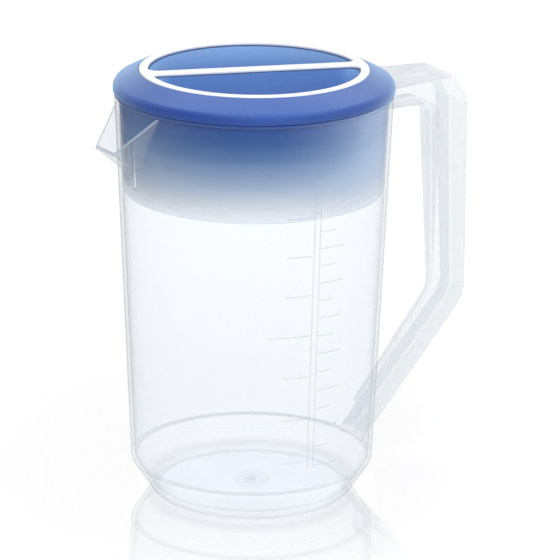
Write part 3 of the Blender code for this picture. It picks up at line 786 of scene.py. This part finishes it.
def spout_notch():
    """What the wall loses behind the spout: the space between the inner faces of the panels."""
    jug = bpy.context.scene.jug_sizes
    throat = (jug.throat_half - jug.wall, jug.throat_height + jug.wall)
    mouth = (jug.mouth_half - jug.wall, jug.rim_height)
    rise = (mouth[0] - throat[0]) / (mouth[1] - throat[1])
    spare, inside, depth = 10 * MM, 9 * MM, 18 * MM
    top = (mouth[0] + rise * spare, jug.rim_height + spare)
    outline = [(-throat[0], throat[1]), throat, top, (-top[0], top[1])]
    near = AXIS.x - jug.corner_radius + inside
    piece = drawn("spout_notch", [(near, y, z) for y, z in outline], fill=True)
    edit(piece, "FACE")
    bpy.ops.mesh.extrude_region_move(TRANSFORM_OT_translate={"value": (-depth, 0, 0)})
    tidy(piece)
    return piece


def flange(name, line, halves, plastics):
    """A flange of the handle: a band along a line in the XZ plane, given its thickness and eased edges."""
    jug = bpy.context.scene.jug_sizes
    sides = []
    for side in (-1, 1):
        sides.append(drawn(name, [AXIS + Vector((p.x, side * h, p.y)) for p, h in zip(line, halves)]))
    piece = joined(sides)
    edit(piece, "EDGE")
    bpy.ops.mesh.bridge_edge_loops()
    bpy.ops.object.mode_set(mode="OBJECT")
    panelled(piece, plastics, HANDLE_PLACE)
    finish_with(piece, "SOLIDIFY", thickness=jug.flange, offset=0.0, use_even_offset=True)
    ease(piece, jug.lip_round)
    tidy(piece)
    return piece


def carry_handle(plastics):
    """The I-section handle: a web between an outer and an inner flange."""
    jug = bpy.context.scene.jug_sizes
    root = jug.corner_radius - jug.flange
    strut = (jug.knee_height - jug.corner_height) / (jug.knee_reach - jug.corner_radius)
    flare = (jug.plate_root_half - jug.plate_half) / (jug.plate_end - wall_radius(jug.plate_top))
    outer = rounded_path(
        [
            (root, jug.plate_top, 0.0),
            (jug.plate_end, jug.plate_top, jug.plate_round),
            (jug.shoulder_reach, jug.shoulder_height, jug.shoulder_round),
            (jug.knee_reach, jug.knee_height, jug.knee_round),
            (root, jug.corner_height - jug.flange * strut, 0.0),
        ],
        HANDLE_STEPS,
    )
    outer = offset_path(outer, -jug.flange / 2)
    halves = [jug.plate_half + flare * (jug.plate_end - root)]
    for half in (jug.plate_half, jug.shoulder_half, jug.knee_half):
        halves += [half] * (HANDLE_STEPS + 1)
    halves.append(jug.strut_half)
    inner_run = (jug.inner_knee_height - jug.inner_strut) / (jug.inner_knee_reach - jug.corner_radius)
    inner = rounded_path(
        [
            (root, jug.arm_underside, 0.0),
            (jug.palm_reach, jug.arm_underside, jug.palm_round),
            (jug.inner_knee_reach, jug.inner_knee_height, jug.inner_knee_round),
            (root, jug.inner_strut - jug.flange * inner_run, 0.0),
        ],
        HANDLE_STEPS,
    )
    inner = offset_path(inner, jug.flange / 2)
    inner_halves = [jug.arm_half] * (HANDLE_STEPS + 2) + [jug.inner_strut_half] * (HANDLE_STEPS + 2)
    outline = [AXIS + Vector((p.x, 0, p.y)) for p in outer + inner[::-1]]
    piece = drawn("carry_handle_web", outline, fill=True)
    panelled(piece, plastics, WEB_PLACE)
    finish_with(piece, "SOLIDIFY", thickness=jug.web, offset=0.0)
    tidy(piece)
    combine(piece, flange("outer_flange", outer, halves, plastics), "UNION")
    combine(piece, flange("inner_flange", inner, inner_halves, plastics), "UNION")
    return piece


class JUG_OT_jug(bpy.types.Operator):
    """Models the jug with its spout and handle as one moulding"""

    bl_idname = "jug.moulding"
    bl_label = "Jug"

    def execute(self, context):
        natural, panel = context.scene.jug_finishes.natural, context.scene.jug_finishes.panel
        # The spout's see-through tint is a little grey: a painted reflection of the studio's dark side in its
        # panels
        clear, milky = "#FDFEFF", "#F7F8FA"
        plastics = (
            natural_polypropylene("natural_polypropylene_wall", natural, clear, 0.006, 0.0, with_painted_shade_rings),
            natural_polypropylene("natural_polypropylene_spout", panel, milky, 0.08),
            natural_edge(),
            natural_polypropylene("natural_polypropylene_handle", panel, clear, 0.4, 0.82, with_seam_milk),
            natural_polypropylene("natural_polypropylene_web", panel, clear, 0.15, 0.82),
        )
        piece = coat(cup(), *plastics)
        fewest = len(piece.data.polygons) // 2
        core = wall_core()
        spout = spout_panels(plastics)
        combine(spout, core, "DIFFERENCE", keep=True)
        combine(piece, spout_notch(), "DIFFERENCE")
        combine(piece, spout, "UNION")
        handle = carry_handle(plastics)
        combine(handle, core, "DIFFERENCE")
        combine(piece, handle, "UNION")
        tidy(piece)
        if len(piece.data.polygons) < fewest:
            raise RuntimeError("the jug lost its faces when its parts were joined")
        nodes = ("jug_body", "pouring_spout", "carry_handle")
        dress(piece, "jug", nodes)
        return {"FINISHED"}


def spot_on_wall(height, arc):
    """A point on the wall at an arc length beside the middle of the scale, and its angle round the jug."""
    radius = wall_radius(height)
    angle = bpy.context.scene.scale_sizes.angle + arc / radius
    return AXIS + Vector((radius * math.cos(angle), radius * math.sin(angle), height)), angle


def tick(volume, start, size):
    """One raised tick: a ring of the bead's section, spun along the wall at the height of a volume."""
    jug, scale = bpy.context.scene.jug_sizes, bpy.context.scene.scale_sizes
    first = wall_radius(scale.first_height) - jug.wall
    added = 3 * jug.slope * (volume - FIRST_VOLUME) / math.pi
    height = scale.first_height + ((first**3 + added) ** (1 / 3) - first) / jug.slope
    spot, angle = spot_on_wall(height, start)
    deselect()
    bpy.ops.mesh.primitive_circle_add(
        vertices=BEAD_SIDES, radius=scale.bead, location=spot, rotation=(math.pi / 2, 0, angle)
    )
    piece = named("tick")
    edit(piece, "EDGE")
    turn = size / wall_radius(height)
    bpy.ops.mesh.spin(steps=max(3, round(abs(size) / MM)), angle=-turn, center=AXIS, axis=(0, 0, 1))
    return piece


def upright(arc):
    """One of the two upright lines: a ring of the bead's section, drawn up the wall."""
    scale = bpy.context.scene.scale_sizes
    low = spot_on_wall(scale.first_height - 2 * scale.bead, arc)[0]
    high = spot_on_wall(scale.twin_top, arc)[0]
    deselect()
    bpy.ops.mesh.primitive_circle_add(vertices=BEAD_SIDES, radius=scale.bead, location=low)
    piece = named("upright")
    edit(piece, "EDGE")
    bpy.ops.mesh.extrude_edges_move(TRANSFORM_OT_translate={"value": high - low})
    return piece


class JUG_OT_scale(bpy.types.Operator):
    """Models the raised scale: a pair of upright lines with ticks on both sides"""

    bl_idname = "jug.scale"
    bl_label = "Scale"

    def execute(self, context):
        scale = context.scene.scale_sizes
        beads = [upright(-scale.twin_gap), upright(scale.twin_gap)]
        first = round(FIRST_VOLUME / METRIC_STEP)
        for step in range(first, first + scale.metric):
            beads.append(tick(step * METRIC_STEP, scale.start, scale.short if step % 2 else scale.long))
        for step in range(1, 1 + scale.imperial):
            size = scale.main if step == scale.quart else scale.long
            beads.append(tick(step * IMPERIAL_STEP, -scale.start, -size))
        joined(beads)
        piece = named("scale_marks")
        edit(piece)
        bpy.ops.mesh.fill_holes(sides=0)
        tidy(piece)
        coat(piece, bpy.data.materials["natural_polypropylene_web"])
        dress(piece, "jug", ())
        return {"FINISHED"}


class JUG_OT_sleeve(bpy.types.Operator):
    """Models the lid's sleeve with its flange and strainer slots"""

    bl_idname = "jug.sleeve"
    bl_label = "Sleeve"

    def execute(self, context):
        jug, lid = context.scene.jug_sizes, context.scene.lid_sizes

        def outside(height):
            return wall_radius(height) - jug.wall - lid.sleeve_gap

        rim = wall_radius(jug.rim_height)
        stand = lid.collar_radius - lid.cap_wall - lid.sleeve_gap
        corners = [
            (outside(lid.flange_low) - lid.sleeve, lid.flange_low, 0.0),
            (stand - lid.sleeve, lid.upstand, lid.upstand_round),
            (stand, lid.upstand, lid.upstand_round),
            (stand, lid.flange_high, 0.0),
            (rim, lid.flange_high, lid.flange_round),
            (rim, lid.flange_low, lid.flange_round),
            (outside(lid.flange_low), lid.flange_low, 0.0),
            (outside(lid.sleeve_bottom), lid.sleeve_bottom, lid.low_round),
            (outside(lid.sleeve_bottom) - lid.sleeve, lid.sleeve_bottom, lid.low_round),
        ]
        piece = spun("sleeve", rounded_path(corners + corners[:1]))
        through, tall = 20 * MM, lid.slot_high - lid.slot_low
        end_round, end_steps = 0.45 * lid.slot_width, 6
        reach, middle = outside(lid.slot_low), (lid.slot_low + lid.slot_high) / 2
        for i in range(lid.slot_count):
            angle = lid.turn + math.pi + (i - (lid.slot_count - 1) / 2) * lid.slot_pitch
            deselect()
            bpy.ops.mesh.primitive_cube_add(size=1.0, scale=(through, lid.slot_width, tall))
            slot = named("slot")
            edit(slot, "EDGE")
            pick(slot, "edges", lambda e: abs((e.verts[0].co - e.verts[1].co).normalized().x) > 0.9)
            bpy.ops.mesh.bevel(offset=end_round, segments=end_steps, affect="EDGES")
            bpy.ops.object.mode_set(mode="OBJECT")
            slot.location = AXIS + Vector((reach * math.cos(angle), reach * math.sin(angle), middle))
            slot.rotation_euler = (0, 0, angle)
            bpy.ops.object.transform_apply(location=True, rotation=True, scale=True)
            combine(piece, slot, "DIFFERENCE")
        tidy(piece)
        coat(piece, frosted_polypropylene())
        dress(piece, "sleeve", ("lid_sleeve",))
        return {"FINISHED"}


def arc(centre, radius, start, turn, steps):
    """Points along an arc, from its start angle through a turn."""
    angles = [start + turn * i / steps for i in range(steps + 1)]
    return [centre + Vector((math.cos(angle), math.sin(angle))) * radius for angle in angles]


def half_disc(radius, bar, fillet, side):
    """Outline of a half disc beside the bar, its corners rounded, round the axis and turned with the lid."""
    reach, rise = radius - fillet, bar / 2 + fillet
    corner = Vector((math.sqrt(reach**2 - rise**2), rise))
    end = math.atan2(corner.y, corner.x)
    turn = end + math.pi / 2
    outline = arc(Vector((0, 0)), radius, end, math.pi - 2 * end, TURN_STEPS // 2)
    outline += arc(Vector((-corner.x, corner.y)), fillet, math.pi - end, turn, FINE_STEPS)[1:]
    outline += arc(corner, fillet, -math.pi / 2, turn, FINE_STEPS)[:-1]
    spin = Matrix.Rotation(bpy.context.scene.lid_sizes.turn, 3, "Z")
    return [AXIS + spin @ Vector((p.x, side * p.y, 0.0)) for p in outline]


def well(side):
    """A finger well as a solid: the half disc drawn down, drawn in by the taper and rounded at its floor."""
    lid = bpy.context.scene.lid_sizes
    above = 4 * MM
    top = lid.trim_low + above
    outline = half_disc(lid.bowl_radius, lid.bar, lid.well_fillet, side)
    piece = drawn("well", [p + Vector((0, 0, top)) for p in outline], fill=True)
    spin = Matrix.Rotation(lid.turn, 3, "Z")
    # The taper is drawn in towards a line by the bar, so the well keeps inside the bowl, and the round at the
    # floor towards the well's own middle, from its half width there
    by_bar, middle, half_width = (part * lid.bowl_radius for part in (0.1, 0.49, 0.62))
    lean = (lid.bowl_radius - lid.bowl_floor_radius) / (lid.land - lid.bowl_floor)
    waist = lid.bowl_floor_radius + lean * lid.bowl_round
    taper = (waist - by_bar) / (lid.bowl_radius - by_bar)
    rings = [(1.0, lid.land, by_bar), (taper, lid.bowl_floor + lid.bowl_round, by_bar)]
    for i in range(1, FINE_STEPS + 1):
        angle = math.pi / 2 * i / FINE_STEPS
        drawn_in = (1 - math.cos(angle)) * lid.bowl_round / half_width
        rings.append((taper - drawn_in, lid.bowl_floor + lid.bowl_round * (1 - math.sin(angle)), middle))
    edit(piece, "FACE")
    size, height = 1.0, top
    for share, z, away in rings:
        bpy.ops.mesh.extrude_region_move(TRANSFORM_OT_translate={"value": (0, 0, z - height)})
        grow = share / size
        centre = AXIS + spin @ Vector((0, side * away, z))
        bpy.ops.transform.resize(value=(grow, grow, 1), center_override=centre)
        size, height = share, z
    tidy(piece)
    return piece


class JUG_OT_cap(bpy.types.Operator):
    """Models the blue cap: a collar, a bowl and a bar between two finger wells"""

    bl_idname = "jug.cap"
    bl_label = "Cap"

    def execute(self, context):
        lid = context.scene.lid_sizes
        neck = lid.bowl_radius + lid.cap_wall
        collar = [
            (lid.recess, lid.recess_top, lid.recess_round),
            (lid.collar_radius, lid.collar_low + lid.collar_band, lid.collar_round),
            (lid.collar_radius, lid.collar_low, lid.low_round),
        ]
        under = offset_path([c[:2] for c in collar], -lid.cap_wall)
        corners = [
            (0.0, lid.land, 0.0),
            (lid.recess, lid.land, 0.0),
            *collar,
            (under[2].x, lid.collar_low, lid.low_round),
            (under[1].x, under[1].y, lid.under_round),
            (neck, lid.land - lid.cap_wall, lid.neck_round),
            (lid.bowl_floor_radius + lid.cap_wall, lid.bowl_floor - lid.cap_wall, lid.bowl_round),
            (0.0, lid.bowl_floor - lid.cap_wall, 0.0),
        ]
        finishes = context.scene.jug_finishes
        # The wells' blue is painted light, paler than the collar's
        plastics = (
            blue_polypropylene("blue_polypropylene_moulded", finishes.blue),
            blue_polypropylene("blue_polypropylene_thin", finishes.blue_well_painted_light, finishes.blue_well_top_painted_light),
        )
        piece = coat(spun("cap", rounded_path(corners, FINE_STEPS)), *plastics)
        for side in (-1, 1):
            hollow = well(side)
            panelled(hollow, plastics, PAINTED_LIGHT_PLACE)
            combine(piece, hollow, "DIFFERENCE")
        tidy(piece)
        nodes = ("lid_collar", "lid_bowl", "finger_bar")
        dress(piece, "cap", nodes)
        return {"FINISHED"}


class JUG_OT_trim(bpy.types.Operator):
    """Models the white trim: a flat ring with a bar across it"""

    bl_idname = "jug.trim"
    bl_label = "Trim"

    def execute(self, context):
        lid = context.scene.lid_sizes
        thick = lid.trim_high - lid.trim_low
        deselect()
        bpy.ops.mesh.primitive_cylinder_add(
            vertices=TURN_STEPS,
            radius=lid.trim_outer,
            depth=thick,
            location=AXIS + Vector((0, 0, (lid.trim_low + lid.trim_high) / 2)),
        )
        piece = named("trim")
        for side in (-1, 1):
            outline = half_disc(lid.trim_inner, lid.trim_bar, lid.trim_fillet, side)
            hole = drawn("hole", [p + Vector((0, 0, lid.trim_low - thick)) for p in outline], fill=True)
            edit(hole, "FACE")
            bpy.ops.mesh.extrude_region_move(TRANSFORM_OT_translate={"value": (0, 0, 3 * thick)})
            tidy(hole)
            combine(piece, hole, "DIFFERENCE")
        ease(piece, lid.trim_edge, segments=3)
        tidy(piece)
        coat(piece, white_polypropylene())
        dress(piece, "cap", ("grip_trim",))
        return {"FINISHED"}


# Stage


def seen_rays(tree):
    """The kinds of ray, and those that show what is behind the jug, from the eye or through clear plastic."""
    ray = add(tree, "LightPath")
    kinds = {0: (ray, "Is Camera Ray"), 1: (ray, "Is Transmission Ray")}
    return ray, add(tree, "Math", kinds, operation="MAXIMUM")


def white_table():
    """A white table with a polished face: white all over, with a mirror of the foot that fades away from it
    and is faint on the handle's side. Under the jug it is painted lighter, a painted pool of light against
    the jug's shadow, and in reflections it is brighter towards the handle's side, a painted bright side of
    the studio."""
    material, tree, place = blank("white_table_polished")
    handle_side = (0.857, -0.515, 0.0)
    away = add(tree, "VectorMath", {0: (place, "Object"), 1: AXIS}, operation="DISTANCE")
    aside = add(tree, "VectorMath", {0: (place, "Object"), 1: handle_side}, operation="DOT_PRODUCT")
    # Each fade: what it follows, where it starts and ends in millimetres, and its levels there
    fades = {
        "mirror": (away, 50, 170, 0.8, 0.0),
        "spot": (aside, 44, 58, 1.0, 0.15),
        "outside": (away, 47, 50, 0.2, 1.0),
        "level": (away, 0, 1000, 0.46, 0.61),
        # Painted light: a lift under the jug that lightens the table against the jug's shadow
        "under": (away, 50, 60, 0.12, 0.0),
        # Brighter towards the handle's side as seen in reflections: a painted bright side of the studio
        "bright": (aside, -300, 200, 0.0, 1.0),
    }
    made = {}
    for name, (source, start, end, near, far) in fades.items():
        reach = {"From Min": start * MM, "From Max": end * MM, "To Min": near, "To Max": far}
        made[name] = add(tree, "MapRange", {"Value": (source, "Value"), **reach})
    mirror = made["mirror"]
    for name in ("spot", "outside"):
        mirror = add(tree, "Math", {0: mirror, 1: made[name]}, operation="MULTIPLY")
    level = add(tree, "Math", {0: made["level"], 1: made["under"]}, operation="ADD")
    ray, seen = seen_rays(tree)
    shown = add(tree, "Math", {0: (ray, "Is Glossy Ray"), 1: made["bright"]}, operation="MULTIPLY")
    seen = add(tree, "Math", {0: seen, 1: shown}, operation="MAXIMUM")
    paint = add(tree, "BsdfDiffuse", {"Color": linear("#BCBCBC")})
    lift = add(tree, "Emission", {"Color": linear("#FFFFFF"), "Strength": level})
    none = add(tree, "Emission", {"Color": linear("#000000"), "Strength": 0.0})
    lift = add(tree, "MixShader", {0: seen, 1: none, 2: lift})
    white = add(tree, "AddShader", {0: paint, 1: lift})
    polish = add(tree, "BsdfGlossy", {"Color": linear("#FFFFFF"), "Roughness": 0.04})
    mixed = add(tree, "MixShader", {0: mirror, 1: white, 2: polish})
    add(tree, "OutputMaterial", {"Surface": mixed})
    return material


def white_room(scene):
    """A room that is plain white to the eye. As light it is softer, and its reflection is dimmer towards the
    studio's dark side."""
    studio = scene.jug_studio
    scene.world = scene.world or bpy.data.worlds.new("room")
    scene.world.use_nodes = True
    tree = scene.world.node_tree
    tree.nodes.clear()
    way = add(tree, "TexCoord")
    side = add(tree, "VectorMath", {0: (way, "Generated"), 1: studio.dark_side}, operation="DOT_PRODUCT")
    darkest = 1.0 - studio.dark_depth
    dark = add(tree, "MapRange", {"Value": (side, "Value"), "To Min": 1.0, "To Max": darkest})
    ray, seen = seen_rays(tree)
    level = add(tree, "Mix", {0: (ray, "Is Glossy Ray"), 2: studio.room, 3: dark}, data_type="FLOAT")
    level = add(tree, "Mix", {0: seen, 2: level, 3: 1.0}, data_type="FLOAT")
    room = add(tree, "Background", {"Color": linear("#FFFFFF"), "Strength": level})
    add(tree, "OutputWorld", {"Surface": room})


class JUG_OT_stage(bpy.types.Operator):
    """Sets the white table, the soft light and the camera"""

    bl_idname = "jug.stage"
    bl_label = "Stage"

    def execute(self, context):
        scene, studio = context.scene, context.scene.jug_studio
        table_size, below_foot, aim_height = 8.0, 0.2 * MM, 0.15
        deselect()
        bpy.ops.mesh.primitive_plane_add(size=table_size, location=(0, 0, -below_foot))
        table = named("table")
        coat(table, white_table())

        # Each softbox: its place, power, width and depth. The one in front is hidden from reflections: it
        # lights, but leaves no highlight
        softboxes = {
            "front_softbox": ((-0.75, -1.45, 1.0), studio.front, 1.6, 1.2),
            "top_softbox": ((0.15, -0.05, 1.35), studio.top, 2.2, 1.8),
        }
        for name, (place, watts, width, depth) in softboxes.items():
            deselect()
            bpy.ops.object.light_add(type="AREA", location=place)
            softbox = bpy.context.object
            softbox.name = name
            softbox.data.shape = "RECTANGLE"
            softbox.data.size, softbox.data.size_y = width, depth
            softbox.data.energy = watts
            softbox.visible_glossy = name != "front_softbox"
            aim = Vector((0, 0, aim_height)) - softbox.location
            softbox.rotation_euler = aim.to_track_quat("-Z", "Y").to_euler()

        deselect()
        bpy.ops.object.camera_add(location=studio.camera_place, rotation=studio.camera_turn)
        camera = bpy.context.object
        camera.name = "camera"
        camera.data.sensor_width = 36.0
        camera.data.lens = studio.lens
        camera.data.clip_start, camera.data.clip_end = 0.05, 50.0
        scene.camera = camera

        white_room(scene)
        scene.view_settings.view_transform = "Standard"
        # Wall, sleeve and spout lie behind one another, so a line of sight crosses many clear faces
        scene.cycles.transparent_max_bounces = 40
        return {"FINISHED"}


class VIEW3D_PT_jug(bpy.types.Panel):
    """Lists the jug's pieces, sizes and colours"""

    bl_idname = "VIEW3D_PT_jug"
    bl_label = "Measuring jug"
    bl_space_type = "VIEW_3D"
    bl_region_type = "UI"
    bl_category = "Jug"

    def draw(self, context):
        for operator in OPERATORS:
            self.layout.operator(operator.bl_idname)
        for attribute, group in GROUPS.items():
            box = self.layout.box()
            box.label(text=group.__doc__)
            for size in group.__annotations__:
                box.prop(getattr(context.scene, attribute), size)


GROUPS = {
    "jug_sizes": JugSizes,
    "scale_sizes": ScaleSizes,
    "lid_sizes": LidSizes,
    "jug_finishes": Finishes,
    "jug_studio": StudioSettings,
}
OPERATORS = (JUG_OT_jug, JUG_OT_scale, JUG_OT_sleeve, JUG_OT_cap, JUG_OT_trim, JUG_OT_stage)


def register():
    for group in GROUPS.values():
        bpy.utils.register_class(group)
    for attribute, group in GROUPS.items():
        setattr(bpy.types.Scene, attribute, PointerProperty(type=group))
    for operator in OPERATORS:
        bpy.utils.register_class(operator)
    bpy.utils.register_class(VIEW3D_PT_jug)


def unregister():
    bpy.utils.unregister_class(VIEW3D_PT_jug)
    for operator in reversed(OPERATORS):
        bpy.utils.unregister_class(operator)
    for attribute, group in GROUPS.items():
        delattr(bpy.types.Scene, attribute)
        bpy.utils.unregister_class(group)


def main():
    register()
    bpy.ops.jug.moulding()
    bpy.ops.jug.scale()
    bpy.ops.jug.sleeve()
    bpy.ops.jug.cap()
    bpy.ops.jug.trim()
    bpy.ops.jug.stage()
    deselect()
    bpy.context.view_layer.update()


if __name__ == "__main__":
    main()
